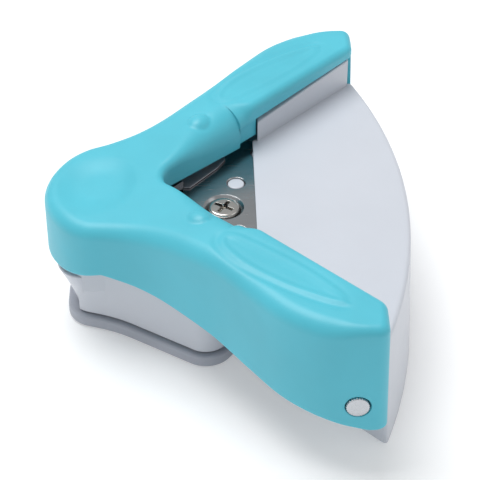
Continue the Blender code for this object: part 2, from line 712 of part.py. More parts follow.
def build_base():
    base = piece("base_frame", prism(deck_outline(), DECK_Z), "white")
    foot_room = (FOOT_LOW, DECK_Z[0] + 0.0005)
    walls = piece_block("foot_walls", prism(foot_ring(CAP_OVERHANG), foot_room))
    room = foot_ring(CAP_OVERHANG + FOOT_WALL)
    cut(walls, prism(room, (FOOT_LOW - 0.001, DECK_Z[0] - 0.0001)), "bin")
    use(base, walls, "UNION")

    block_x = (FOOT_NOSE_X + 0.0010, -0.0052)
    half_width = GUIDE_BLOCK_HALF_WIDTH
    join(base, block(block_x, (-half_width, half_width), (GUIDE_BLOCK_Z[0], DECK_Z[0] + 0.0003)),
         "guide_block")
    saddle_half = SADDLE_HALF_WIDTH + GAP
    cut(base, block((CARRIER_X[0] - GAP, CARRIER_X[1] + GAP), (-saddle_half, saddle_half),
                    (GUIDE_BLOCK_Z[1], 0.0300)), "saddle_room")
    chute_half = PUNCH_HALF_WIDTH + 0.0006
    cut(base, block((CARRIER_X[1] - 0.001, chute_half), (-chute_half, chute_half),
                    (GUIDE_BLOCK_Z[1], 0.0300)), "chip_chute")
    leg_half = LEG_HALF_WIDTH + GAP
    cut(base, block((LEG_X[0] - GAP, LEG_X[1] + GAP), (-leg_half, leg_half), (0.0050, 0.0250)),
        "leg_channel")
    cut(base, block((-0.0160, CARRIER_X[0]), (-0.0125, 0.0125), (0.0215, 0.0300)), "back_relief")
    for side, label in SIDES:
        pocket = (SPRING_PLACE[0], SPRING_PLACE[1] * side)
        drill(base, pocket, 0.0020, (SPRING_POCKET_Z, 0.0250), f"pocket_{label}")
    join_peg_and_posts(base)
    nose = [(-0.0140, FOOT_LOW), (-0.0163, FOOT_LOW), (-0.0165, 0.0045), (-0.0172, 0.0062),
            (-0.0183, 0.0079), (-0.0197, LIP_TOP), (-0.0140, LIP_TOP)]
    lip = piece_block("thumb_lip", ridge([Vector(p) for p in nose], (-0.0062, 0.0062)))
    plan = rounded([(-0.0050, -0.0090, 0), (-0.0050, 0.0090, 0), (-0.0198, 0.0062, 0.0058),
                    (-0.0198, -0.0062, 0.0058)])
    shape(lip, prism(plan, (0.0, 0.0200)), "INTERSECT", "rounding")
    inner = prism(room, (FOOT_LOW - 0.001, 0.0120))
    cut(lip, inner, "bin")
    use(base, lip, "UNION")


def join_peg_and_posts(base):
    boss = [(0.0034, 0.0145), (0.0034, DECK_Z[0] + 0.0005)]
    join(base, turned((DIE_SCREW_X, 0), boss), "die_screw_boss")
    drill(base, (DIE_SCREW_X, 0), 0.0016, (0.0150, 0.0300), "die_screw")
    for side, label in SIDES:
        for number, (x, y) in enumerate(PEG_PLACES):
            peg = ((PEG_RADIUS, DECK_Z[1] - 0.001), (PEG_RADIUS, DIE_Z[1] - 0.0001))
            join(base, turned((x, y * side), peg, 16), f"peg_{label}_{number}")
        drill(base, (STRIP_SCREW[0], STRIP_SCREW[1] * side), 0.00125,
              (0.0172, 0.0300), f"strip_screw_{label}")
        drill(base, (TRAY_SCREW[0], TRAY_SCREW[1] * side), 0.0012,
              (0.0100, 0.0300), f"tray_screw_{label}")
        post_y = sorted((POST_Y[0] * side, POST_Y[1] * side))
        join(base, block(POST_X, post_y, (0.0125, DECK_Z[0] + 0.0005)), f"post_{label}")
        hole_y = sorted((0.0400 * side, 0.0500 * side))
        cut(base, side_cylinder(PIN_RADIUS + RUNNING_GAP, HINGE.x, hole_y, HINGE.z),
            f"pin_hole_{label}")


def build_pins():
    for side, label in SIDES:
        seat = ARM_HALF_WIDTH - PIN_SEAT + SCREW_GAP
        pin_y = sorted((0.0425 * side, (seat + 0.0002) * side))
        pin = piece(f"hinge_pin_{label}", side_cylinder(PIN_RADIUS, HINGE.x, pin_y, HINGE.z),
                    "nickel")
        head_y = sorted((seat * side, (ARM_HALF_WIDTH + 0.0002) * side))
        join(pin, side_cylinder(PIN_HEAD_RADIUS, HINGE.x, head_y, HINGE.z), "head")


def build_chip_cap(body):
    outline = foot_outline()
    rim = 0.0004
    rings = [flat(inset(outline, rim), 0.0), flat(outline, rim), flat(outline, CAP_TOP - rim),
             flat(inset(outline, rim), CAP_TOP)]
    cap = piece("chip_cap", loft(rings), "gray", body)
    spigot = CAP_OVERHANG + FOOT_WALL + GAP
    join(cap, prism(foot_ring(spigot), (0.0010, 0.0080)), "spigot")
    cut(cap, prism(foot_ring(spigot + 0.0011), (0.0015, 0.0100)), "bin")


# Assembly

def piece_block(name, bm):
    """Hidden helper solid that a Boolean modifier uses."""
    made = piece(name, bm, "white")
    made.hide_render = True
    made.hide_set(True)
    made.display_type = "WIRE"
    return made


def use(target, tool, operation):
    modifier = target.modifiers.new(tool.name, "BOOLEAN")
    modifier.operation = operation
    modifier.object = tool
    modifier.solver = "EXACT"


def main():
    for old in list(bpy.data.objects):
        bpy.data.objects.remove(old, do_unlink=True)
    lever = body_axis("lever_axis", HINGE)
    punch = body_axis("punch_axis", (0.0, 0.0, PUNCH_Z[0]))
    cap = body_axis("cap_axis", (0.0, 0.0, 0.0))
    build_base()
    build_tray()
    build_plates()
    build_pins()
    build_lever(lever)
    build_press_plate(lever)
    build_punch(punch)
    for side, label in SIDES:
        build_spring(label, side)
    build_chip_cap(cap)


main()
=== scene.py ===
"""Looks for the corner rounder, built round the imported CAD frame.

Lengths are in millimetres until a mesh is made. +X runs from the lever's thumb end to the tray, and
the two halves mirror each other about the plane Y = 0.
"""

import math

import bmesh
import bpy
import numpy as np
from mathutils import Matrix, Vector
from mathutils.geometry import delaunay_2d_cdt


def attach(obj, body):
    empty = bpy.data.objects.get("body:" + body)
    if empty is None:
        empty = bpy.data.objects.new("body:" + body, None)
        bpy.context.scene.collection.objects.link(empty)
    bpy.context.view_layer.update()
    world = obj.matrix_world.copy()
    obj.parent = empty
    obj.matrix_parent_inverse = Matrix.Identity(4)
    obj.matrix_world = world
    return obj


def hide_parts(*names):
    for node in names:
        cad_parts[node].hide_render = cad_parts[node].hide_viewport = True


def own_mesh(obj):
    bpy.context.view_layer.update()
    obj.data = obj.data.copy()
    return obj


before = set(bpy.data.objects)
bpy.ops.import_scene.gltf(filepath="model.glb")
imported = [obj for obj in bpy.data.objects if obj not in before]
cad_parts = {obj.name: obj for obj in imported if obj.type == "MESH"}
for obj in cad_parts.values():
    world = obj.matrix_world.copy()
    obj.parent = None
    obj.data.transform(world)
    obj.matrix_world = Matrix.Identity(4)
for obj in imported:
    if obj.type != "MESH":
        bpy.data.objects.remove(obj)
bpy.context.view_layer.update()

MM = 0.001
SIDES = ((1, "far"), (-1, "near"))

# Lever
HINGE_X, HINGE_Z = 36.0, 16.5
ARM_TOP = 34.5
THUMB_TOP = 29.6
THUMB_END_X = -21.3
ARM_HALF_WIDTH = 48.4
ARM_END_X = 41.0
END_FLARE = 0.9                # how far the arms' end faces lean out by table level
V_EDGE = 0.2
SHELL = 1.8
WALL_END_X = 16.9
STEP_END_X = 20.2
STEP_BACK = 0.8
END_WALL_Y = 43.2
SKIN_STEP = 0.42               # spacing of the lever skin's points
DOME = (8.6, 15.3, 2.15, 0.7)  # x, |y|, radius, height
PRESS_PAD = ((-5.2, -0.6), (-9.4, 9.4), (27.7, 30.2))
PIN_RADIUS = 1.5
PIN_HEAD_RADIUS = 2.2
PIN_HOLE_RADIUS = 1.56

# Tray
TRAY_TOP = 25.0
TRAY_EDGE_X = 19.5
FAN_CENTRE_X = -63.6
FAN_RADIUS = 112.8
FAN_SIDE_TOP, FAN_SIDE_LOW = 1.0, -0.9
FENCE_X = (20.5, 40.2)
FENCE_WIDTH = 2.6
FENCE_TOP = (29.45, 31.5)
SHEET_BOTTOM = 23.2
WALL_THICKNESS = 1.8
TRAY_HOLLOW_X = 25.0
TRAY_SCREW_HOLE = 1.2

# Plates and base
DIE_Z = (22.6, 24.0)
CUT_RADIUS = 4.0
PUNCH_HALF_WIDTH = 5.5
PUNCH_BACK_X = -6.1
PUNCH_GAP = 0.15
DECK_Z = (20.0, 22.3)
PEG_PLACES = ((15.85, 7.7), (20.9, 17.7))
PEG_RADIUS = 1.65
PEG_SHOULDER, PEG_EDGE = 23.65, 0.25
DIE_SCREW_X = 13.3
DIE_SCREW_SEAT_Z = 23.0
DIE_SCREW_HOLE = 1.65
DIE_BOSS_RADIUS = 3.4
STRIP_SCREW = (8.6, 15.3)
STRIP_SCREW_HOLE = 1.25
TRAY_SCREW = (27.0, 9.0)
SPRING_PLACE = (-9.5, 5.0)
SPRING_POCKET = 2.0
FOOT_LOW = 3.0
CAP_TOP = 2.7
CAP_OVERHANG = 0.9
FOOT_WALL = 1.6
FOOT_NOSE_X = -15.7
THUMB_LIP_TOP = 12.0
POST_X = (32.5, 38.4)
POST_Y = (42.2, 45.8)
GUIDE_BLOCK = ((-14.6, -5.2), (-7.8, 7.8), (9.52, 20.3))
BASE_ROOMS = (                 # saddle room, chip chute and leg channel, as x, y and z spans
    ((-13.3, -6.1), (-7.9, 7.9), (16.2, 30.0)),
    ((-7.4, 6.1), (-6.1, 6.1), (16.2, 30.0)),
    ((-12.3, -6.7), (-2.7, 2.7), (5.0, 25.0)),
)


def ramp(a, b, x):
    """Smooth step from 0 at a to 1 at b."""
    t = np.clip((np.asarray(x, float) - a) / (b - a), 0.0, 1.0)
    return t * t * (3 - 2 * t)


# Plans

def rounded(corners, step=4.0):
    """Polygon from (x, y, radius) corners, counter-clockwise, each corner drawn as an arc."""
    points = []
    count = len(corners)
    for i in range(count):
        before, here = Vector(corners[i - 1][:2]), Vector(corners[i][:2])
        after = Vector(corners[(i + 1) % count][:2])
        radius = corners[i][2]
        if radius == 0:
            points.append(here)
            continue
        incoming = (here - before).normalized()
        outgoing = (after - here).normalized()
        turn = math.atan2(incoming.cross(outgoing), incoming.dot(outgoing))
        start = here - incoming * radius * math.tan(abs(turn) / 2)
        centre = start + Vector((-incoming.y, incoming.x)) * radius * math.copysign(1.0, turn)
        steps = max(2, math.ceil(abs(math.degrees(turn)) / step))
        for k in range(steps + 1):
            points.append(centre + Matrix.Rotation(turn * k / steps, 2) @ (start - centre))
    return np.array([tuple(p) for p in points])


def mirrored(half):
    """Full corner list from the corners on the +Y side."""
    return half + [(x, -y, radius) for x, y, radius in reversed(half)]


def smooth_path(knots, steps, before=None, after=None):
    """Catmull-Rom curve through the knots, without its last point."""
    knots = [np.array(k, float) for k in knots]
    first = knots[0] * 2 - knots[1] if before is None else np.array(before, float)
    last = knots[-1] * 2 - knots[-2] if after is None else np.array(after, float)
    padded = [first] + knots + [last]
    path = []
    for i in range(1, len(padded) - 2):
        a, b, c, d = padded[i - 1:i + 3]
        for k in range(steps):
            t = k / steps
            path.append(0.5 * (2 * b + (c - a) * t + (2 * a - 5 * b + 4 * c - d) * t ** 2
                               + (3 * b - a - 3 * c + d) * t ** 3))
    return np.array(path)


def resampled(points, step, keep=()):
    """Closed outline at an even step; a kept distance gets a point just before and just after."""
    closed = np.vstack([points, points[:1]])
    length = np.concatenate([[0.0], np.cumsum(np.linalg.norm(np.diff(closed, axis=0), axis=1))])
    total = length[-1]
    marks = np.linspace(0.0, total, max(8, round(total / step)), endpoint=False)
    for place in keep:
        marks = marks[np.abs(marks - place) > 0.35 * step]
    doubled = [place + shift for place in keep for shift in (-0.01, 0.01)]
    marks = np.sort(np.concatenate([marks, doubled]))
    found = np.column_stack([np.interp(marks, length, closed[:, k]) for k in (0, 1)])
    return found, marks, total


def inward(points):
    """Unit normals pointing into a counter-clockwise outline."""
    tangent = np.roll(points, -1, axis=0) - np.roll(points, 1, axis=0)
    tangent /= np.linalg.norm(tangent, axis=1)[:, None]
    return np.column_stack([-tangent[:, 1], tangent[:, 0]])


def inset(points, distance):
    """The outline moved inwards by one distance, or by one for each point."""
    return points + inward(points) * np.reshape(np.broadcast_to(distance, len(points)), (-1, 1))


def inside(points, outline):
    """Even-odd test of many points against one outline."""
    odd = np.zeros(len(points), bool)
    a, b = outline, np.roll(outline, -1, axis=0)
    for (ax, ay), (bx, by) in zip(a, b):
        if ay == by:
            continue
        crosses = (ay > points[:, 1]) != (by > points[:, 1])
        odd ^= crosses & (points[:, 0] < ax + (bx - ax) * (points[:, 1] - ay) / (by - ay))
    return odd


def edge_distance(points, outline):
    """Distance of each point from a closed outline's segments."""
    a, b = outline, np.roll(outline, -1, axis=0)
    best = np.full(len(points), 1e9)
    for start, end in zip(a, b):
        d = end - start
        t = np.clip(((points - start) @ d) / max(d @ d, 1e-12), 0, 1)
        best = np.minimum(best, np.linalg.norm(points - start - t[:, None] * d, axis=1))
    return best


def counter_clockwise(plan):
    x, y = plan.T
    area = np.sum(x * np.roll(y, -1) - np.roll(x, -1) * y)
    return plan if area > 0 else plan[::-1]


# Meshes

class Body:
    """Vertices and faces of one closed mesh as it is put together."""

    def __init__(self):
        self.verts, self.faces = [], []

    def ring(self, plan, height):
        heights = np.broadcast_to(height, len(plan))
        start = len(self.verts)
        self.verts += [(p[0], p[1], z) for p, z in zip(plan, heights)]
        return list(range(start, start + len(plan)))

    def join(self, a, b):
        for i in range(len(a)):
            j = (i + 1) % len(a)
            self.faces.append((a[i], a[j], b[j], b[i]))

    def cap(self, ring, height, spacing):
        """Fill a ring with triangles on a height field."""
        outline = np.array([self.verts[i][:2] for i in ring])
        low, high = outline.min(0), outline.max(0)
        rows = np.arange(low[1] + spacing / 2, high[1], spacing * 0.866)
        grid = [(x + (k % 2) * spacing / 2, y) for k, y in enumerate(rows)
                for x in np.arange(low[0] + spacing / 2, high[0], spacing)]
        grid = np.array(grid).reshape(-1, 2)
        grid = grid[inside(grid, outline)]
        grid = grid[edge_distance(grid, outline) > spacing * 0.6]
        count = len(ring)
        points = [Vector(p) for p in outline] + [Vector(p) for p in grid]
        edges = [(i, (i + 1) % count) for i in range(count)]
        result = delaunay_2d_cdt(points, edges, [], 1, 1e-7)
        start = len(self.verts)
        heights = height(grid[:, 0], grid[:, 1])
        self.verts += [(x, y, z) for (x, y), z in zip(grid, heights)]
        lookup = {}
        for index, sources in enumerate(result[3]):
            source = sources[0]
            lookup[index] = ring[source] if source < count else start + source - count
        self.faces += [tuple(lookup[i] for i in face) for face in result[2]]

    def mesh(self):
        bm = bmesh.new()
        made = [bm.verts.new(v) for v in self.verts]
        for face in self.faces:
            bm.faces.new([made[i] for i in face])
        bmesh.ops.remove_doubles(bm, verts=bm.verts, dist=0.0005)
        bmesh.ops.recalc_face_normals(bm, faces=bm.faces)
        return bm


def level(value):
    """Height field at one height."""
    return lambda x, y: np.full(len(x), float(value))


def stack(rings, spacing=6.0):
    """Closed solid through (plan, z) rings listed upwards, with flat ends."""
    body = Body()
    rows = [body.ring(plan, z) for plan, z in rings]
    for a, b in zip(rows, rows[1:]):
        body.join(a, b)
    body.cap(rows[0], level(rings[0][1]), spacing)
    body.cap(rows[-1], level(rings[-1][1]), spacing)
    return body.mesh()


def prism(plan, z):
    return stack([(np.array(plan, float), z[0]), (np.array(plan, float), z[1])])


def block(x, y, z):
    bm = bmesh.new()
    bmesh.ops.create_cube(bm, size=1.0)
    size = Matrix.Diagonal((x[1] - x[0], y[1] - y[0], z[1] - z[0], 1))
    place = Matrix.Translation(((x[0] + x[1]) / 2, (y[0] + y[1]) / 2, (z[0] + z[1]) / 2))
    bm.transform(place @ size)
    return bm


def circle(centre, radius, steps=64):
    turn = np.linspace(0, math.tau, steps, endpoint=False)
    return np.column_stack([centre[0] + radius * np.cos(turn), centre[1] + radius * np.sin(turn)])


def turned(place, profile, steps=64):
    """Solid of revolution about a vertical line, from (radius, z) pairs listed upwards."""
    bm = bmesh.new()
    rows = []
    for radius, z in profile:
        rows.append([bm.verts.new((p[0], p[1], z)) for p in circle(place, radius, steps)])
    for a, b in zip(rows, rows[1:]):
        for i in range(steps):
            j = (i + 1) % steps
            bm.faces.new((a[i], a[j], b[j], b[i]))
    bm.faces.new(rows[0][::-1])
    bm.faces.new(rows[-1])
    bmesh.ops.recalc_face_normals(bm, faces=bm.faces)
    return bm


def side_turned(x, z, profile, steps=64):
    """Solid of revolution about a line along Y, from (radius, y) pairs."""
    bm = turned((0, 0), profile, steps)
    bm.transform(Matrix(((1, 0, 0, x), (0, 0, 1, 0), (0, -1, 0, z), (0, 0, 0, 1))))
    bmesh.ops.recalc_face_normals(bm, faces=bm.faces)
    return bm


def arc(radius, centre_r, centre_z, start, end, steps=6):
    """Profile points round a corner, as (radius, z) pairs, between angles in degrees."""
    found = []
    for k in range(steps + 1):
        angle = math.radians(start + (end - start) * k / steps)
        found.append((centre_r + radius * math.cos(angle), centre_z + radius * math.sin(angle)))
    return found


# Pieces

def piece(name, bm, finish, body, node=None, angle=32):
    """Shown mesh from a bmesh in millimetres."""
    bm.transform(Matrix.Scale(MM, 4))
    mesh = bpy.data.meshes.new(name)
    bm.to_mesh(mesh)
    bm.free()
    made = bpy.data.objects.new(name, mesh)
    bpy.context.scene.collection.objects.link(made)
    made.data.materials.append(finish)
    if body is not None:
        settle(made, angle)
        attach(made, body)
        if node:
            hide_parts(node)
    return made


def settle(made, angle=32):
    """Smooth shading with creases kept sharp."""
    made.data.shade_smooth()
    made.data.set_sharp_from_angle(angle=math.radians(angle))


def shape(target, bm, operation):
    """Boolean applied at once; the tool isn't kept."""
    tool = piece(f"{target.name}_tool", bm, target.data.materials[0], None)
    modifier = target.modifiers.new("shape", "BOOLEAN")
    modifier.operation = operation
    modifier.object = tool
    modifier.solver = "EXACT"
    bpy.context.view_layer.update()
    solid = target.evaluated_get(bpy.context.evaluated_depsgraph_get())
    mesh = bpy.data.meshes.new_from_object(solid)
    target.modifiers.clear()
    old = target.data
    target.data = mesh
    bpy.data.meshes.remove(old)
    bpy.data.objects.remove(tool, do_unlink=True)


def cut(target, bm):
    shape(target, bm, "DIFFERENCE")


def unite(target, bm):
    shape(target, bm, "UNION")


def taken(made):
    """The mesh of a helper object in millimetres; the object goes."""
    bm = bmesh.new()
    bm.from_mesh(made.data)
    bm.transform(Matrix.Scale(1 / MM, 4))
    bpy.data.objects.remove(made, do_unlink=True)
    return bm


# Materials

def srgb(*values):
    return tuple(((v / 255 + 0.055) / 1.055) ** 2.4 if v > 10 else v / 255 / 12.92 for v in values)


def node(tree, kind, **inputs):
    made = tree.nodes.new(kind)
    for key, value in inputs.items():
        made.inputs[key.replace("_", " ")].default_value = value
    return made


def finish_base(name, slot, edge):
    """Material with object coordinates and softened edges; returns its parts."""
    made = bpy.data.materials.new(name)
    made["slot"] = slot
    made.use_nodes = True
    tree = made.node_tree
    shader = tree.nodes["Principled BSDF"]
    place = node(tree, "ShaderNodeTexCoord")
    soft = node(tree, "ShaderNodeBevel")
    soft.samples = 6
    soft.inputs["Radius"].default_value = edge * MM
    return made, tree, shader, place, soft


def moulded(name, slot, colour, roughness=0.34, coat=0.2, glow=0.06, grain=0.03, edge=0.25,
            shade=0.93):
    """Injection-moulded plastic: fine grain, slow changes of tone and gloss.

    shade is the darker tone's share of the colour, glow the weight of light scattered inside, and
    edge the radius in millimetres that softens sharp edges in the shading.
    """
    made, tree, shader, place, soft = finish_base(name, slot, edge)
    link = tree.links.new
    tone = node(tree, "ShaderNodeTexNoise", Scale=55.0, Detail=3.0, Roughness=0.55)
    mix = node(tree, "ShaderNodeMix")
    mix.data_type = "RGBA"
    mix.inputs[6].default_value = (*[c * shade for c in colour], 1)
    mix.inputs[7].default_value = (*colour, 1)
    spread = node(tree, "ShaderNodeMapRange")
    spread.inputs["From Min"].default_value = 0.35
    spread.inputs["From Max"].default_value = 0.65
    link(place.outputs["Object"], tone.inputs["Vector"])
    link(tone.outputs["Fac"], spread.inputs["Value"])
    link(spread.outputs["Result"], mix.inputs["Factor"])
    link(mix.outputs[2], shader.inputs["Base Color"])
    gloss = node(tree, "ShaderNodeTexNoise", Scale=230.0, Detail=4.0, Roughness=0.6)
    level_out = node(tree, "ShaderNodeMapRange")
    level_out.inputs["To Min"].default_value = roughness - 0.05
    level_out.inputs["To Max"].default_value = roughness + 0.06
    link(place.outputs["Object"], gloss.inputs["Vector"])
    link(gloss.outputs["Fac"], level_out.inputs["Value"])
    link(level_out.outputs["Result"], shader.inputs["Roughness"])
    fine = node(tree, "ShaderNodeTexNoise", Scale=2600.0, Detail=3.0, Roughness=0.6)
    bump = node(tree, "ShaderNodeBump", Strength=grain, Distance=0.05 * MM)
    link(place.outputs["Object"], fine.inputs["Vector"])
    link(fine.outputs["Fac"], bump.inputs["Height"])
    link(soft.outputs["Normal"], bump.inputs["Normal"])
    link(bump.outputs["Normal"], shader.inputs["Normal"])
    shader.inputs["Coat Weight"].default_value = coat
    shader.inputs["Coat Roughness"].default_value = 0.22
    shader.inputs["Subsurface Weight"].default_value = glow
    shader.inputs["Subsurface Scale"].default_value = 1.2 * MM
    shader.inputs["Subsurface Radius"].default_value = (1.0, 0.9, 0.9)
    return made


def metal(name, slot, colour, roughness=0.3, brushed=(1.0, 1.0, 1.0), grain=0.15, edge=0.12):
    """Metal with a worked grain; brushed stretches the grain along the axes with small values."""
    made, tree, shader, place, soft = finish_base(name, slot, edge)
    link = tree.links.new
    shader.inputs["Metallic"].default_value = 1.0
    stretch = node(tree, "ShaderNodeMapping")
    stretch.inputs["Scale"].default_value = brushed
    link(place.outputs["Object"], stretch.inputs["Vector"])
    grain_map = node(tree, "ShaderNodeTexNoise", Scale=1500.0, Detail=5.0, Roughness=0.65)
    link(stretch.outputs["Vector"], grain_map.inputs["Vector"])
    cloud = node(tree, "ShaderNodeTexNoise", Scale=140.0, Detail=4.0, Roughness=0.6)
    link(place.outputs["Object"], cloud.inputs["Vector"])
    mix = node(tree, "ShaderNodeMix")
    mix.data_type = "RGBA"
    mix.inputs[6].default_value = (*[c * 0.82 for c in colour], 1)
    mix.inputs[7].default_value = (*colour, 1)
    link(cloud.outputs["Fac"], mix.inputs["Factor"])
    link(mix.outputs[2], shader.inputs["Base Color"])
    gloss = node(tree, "ShaderNodeMapRange")
    gloss.inputs["To Min"].default_value = max(0.05, roughness - 0.08)
    gloss.inputs["To Max"].default_value = roughness + 0.10
    link(grain_map.outputs["Fac"], gloss.inputs["Value"])
    link(gloss.outputs["Result"], shader.inputs["Roughness"])
    bump = node(tree, "ShaderNodeBump", Strength=grain, Distance=0.02 * MM)
    link(grain_map.outputs["Fac"], bump.inputs["Height"])
    link(soft.outputs["Normal"], bump.inputs["Normal"])
    link(bump.outputs["Normal"], shader.inputs["Normal"])
    return made


TURQUOISE = moulded("turquoise", "turquoise_plastic", srgb(80, 188, 207), 0.46, 0.06, 0.08)
WHITE = moulded("white", "white_plastic", srgb(201, 205, 213), 0.38, 0.12, 0.10, shade=0.97)
GRAY = moulded("gray", "gray_plastic", srgb(170, 174, 184), 0.52, 0.05, 0.02, 0.08)
NATURAL = moulded("natural", "natural_plastic", srgb(226, 226, 216), 0.42, 0.1, 0.2)
PLATE = metal("plate", "plate_steel", srgb(176, 178, 180), 0.24, (0.06, 1.0, 1.0))
# Lighter copy of the plate steel for the guide strips: its lighter colour is painted light that
# keeps the strips grey in the shade under the lever's wall.
STRIP_PAINTED_LIGHT = metal("strip", "plate_steel", srgb(206, 202, 208), 0.5, (0.3, 1.0, 1.0))
TOOL = metal("tool", "tool_steel", srgb(120, 123, 128), 0.28, (1.0, 0.08, 1.0))
SPRING = metal("spring", "spring_steel", srgb(150, 152, 155), 0.25)
PIN = metal("pin", "pin_steel", srgb(196, 198, 202), 0.26, (1.0, 1.0, 1.0), 0.1)
NICKEL = metal("nickel", "screw_nickel", srgb(206, 203, 198), 0.20, (1.0, 1.0, 1.0), 0.08)


# Lever

def lever_top(x):
    return THUMB_TOP + (ARM_TOP - THUMB_TOP) * ramp(-16.0, 16.0, x)


def skirt_bottom(x):
    arm = np.minimum(np.maximum(10.5, 12.7 - 0.26 * (x - 29.7)), 12.7 - 0.158 * (x - 29.7))
    return np.minimum(arm, 19.0 + 0.27 * (x + 10.5))


def wall_bottom(x):
    return 25.75 + 0.085 * (WALL_END_X - x)


def lip_bottom(x):
    return 30.7 + 0.06 * (x - FENCE_X[0])


def lever_plan():
    flank = [(37.0, ARM_HALF_WIDTH), (32.5, 48.0), (28.0, 46.4), (22.5, 42.5), (17.0, 36.2),
             (11.0, 28.9), (5.0, 23.2), (0.5, 19.5), (-4.0, 16.8), (-9.0, 14.9), (-13.8, 13.4),
             (-17.5, 10.3), (-20.3, 5.3), (THUMB_END_X, 0.0)]
    far = smooth_path(flank, 16, after=(flank[-2][0], -flank[-2][1]))
    near = far[1:][::-1] * (1, -1)
    tip = ARM_END_X - V_EDGE
    straight = flank[0][0]
    corners = [(straight, -ARM_HALF_WIDTH, 0), (ARM_END_X, -ARM_HALF_WIDTH, 2.0),
               (ARM_END_X, -tip, 3.0), (V_EDGE, 0.0, 4.0), (ARM_END_X, tip, 3.0),
               (ARM_END_X, ARM_HALF_WIDTH, 2.0), (straight, ARM_HALF_WIDTH, 0)]
    return np.vstack([rounded(corners, 3.0)[:-1], far, [flank[-1]], near])


def leaned(plan, height):
    """The lever's plan at a height: the arms' end faces lean outwards as they go down."""
    share = np.clip(1 - height / (ARM_TOP - 1.8), 0.0, 1.0)
    shift = END_FLARE * np.clip(plan[:, 0] - (ARM_END_X - 2.5), 0.0, None) / 2.5 * share
    return plan + np.column_stack([shift, np.zeros(len(plan))])


def v_fillet(x):
    """Radius of the rounding along the V: broad at the full inner walls, small at the lips."""
    return 2.0 + 3.8 * ramp(3.0, 13.0, x) - 4.3 * ramp(16.2, 20.2, x)


def v_rise(x):
    """Height that the rounding along the V may take: the lips leave less room than the walls."""
    return np.where(x > WALL_END_X, ARM_TOP - lip_bottom(x) - 0.4, 9.0)


def v_drop(x, y):
    """How far the rounding along the V lies under the lever's top."""
    depth = np.clip((np.abs(y) - x + V_EDGE) / math.sqrt(2), 0.0, None)
    foot = x + depth / math.sqrt(2)
    radius = v_fillet(foot)
    short = np.clip(radius - depth, 0.0, None) / radius
    return np.minimum(radius, v_rise(foot)) * (1 - np.sqrt(1 - short ** 2))


def crossings(points, axis, value, where):
    """Distances along a closed outline where one coordinate passes a value, in one region."""
    closed = np.vstack([points, points[:1]])
    step = np.linalg.norm(np.diff(closed, axis=0), axis=1)
    start = np.concatenate([[0.0], np.cumsum(step)])
    found = []
    for i in range(len(points)):
        a, b = closed[i][axis], closed[i + 1][axis]
        if (a - value) * (b - value) < 0:
            share = (value - a) / (b - a)
            if where(closed[i] + (closed[i + 1] - closed[i]) * share):
                found.append(start[i] + step[i] * share)
    return found


def leaf_outline():
    """Plan of the sunken leaf on an arm: a full outer side, a straighter inner side, a long tip."""
    outer = [(11.6, 22.6), (11.9, 25.2), (14.5, 29.2), (18.0, 32.8), (22.0, 36.0), (26.0, 38.7),
             (30.0, 40.9), (33.0, 42.0), (35.0, 41.9)]
    inner = [(34.2, 39.2), (31.6, 35.6), (28.5, 32.1), (25.2, 28.9), (21.8, 26.0), (18.4, 23.3),
             (15.4, 21.2), (13.0, 20.8)]
    loop = outer + inner
    return smooth_path(loop + [loop[0]], 8, before=loop[-1], after=loop[1]), len(outer) * 8


def leaf_relief(x, y):
    """Groove and ridge along the leaf's outer side, a softer line along its inner side."""
    plan, split = leaf_outline()
    points = np.column_stack([x, np.abs(y)])
    near = (points[:, 0] > 7) & (points[:, 1] > 17)
    chosen = points[near]
    depth = np.where(inside(chosen, plan), 1.0, -1.0) * edge_distance(chosen, plan)
    outer = plan[:split - 6]
    gap = np.full(len(chosen), 1e9)
    for p in outer:
        gap = np.minimum(gap, np.hypot(chosen[:, 0] - p[0], chosen[:, 1] - p[1]))
    share = 1 - ramp(0.0, 2.4, gap - np.abs(depth))
    groove = -0.27 * np.exp(-(depth / 0.75) ** 2) - 0.08 * np.exp(-((depth - 2.2) / 0.6) ** 2)
    crest = 0.11 * np.exp(-((depth - 1.25) / 0.50) ** 2)
    lens = ramp(24.0, 29.0, chosen[:, 0]) * (1 - ramp(32.0, 35.0, chosen[:, 0]))
    crest = crest + 0.12 * lens * np.exp(-((depth - 1.5) / 0.9) ** 2)
    bead = 0.09 * np.exp(-((depth - 0.7) / 0.5) ** 2) - 0.10 * np.exp(-((depth + 0.1) / 0.6) ** 2)
    height = np.zeros(len(x))
    height[near] = -0.07 * ramp(1.0, 3.0, depth) + share * (groove + crest) + (1 - share) * bead
    return height * (1 - ramp(33.0, 35.6, x))


def thumb_dish(x, y):
    """Shallow scoop for the thumb with a steeper back."""
    u = np.where(x > -11.0, (x + 11.0) / 7.6, (x + 11.0) / 9.5)
    v = y / 9.2
    reach = np.sqrt(u ** 2 + v ** 2)
    back = ramp(0.0, 1.0, u)
    return -0.80 * (1 - ramp(0.35 + 0.30 * back, 1.06, reach))


def domes(x, y):
    r = np.hypot(x - DOME[0], np.abs(y) - DOME[1]) / DOME[2]
    cap = DOME[3] * np.clip(1 - r ** 2, 0, 1) ** 0.7
    skirt = -0.08 * np.exp(-((r - 1.12) / 0.22) ** 2)
    return cap + skirt


def lever_surface(x, y):
    return lever_top(x) + leaf_relief(x, y) + thumb_dish(x, y) + domes(x, y)


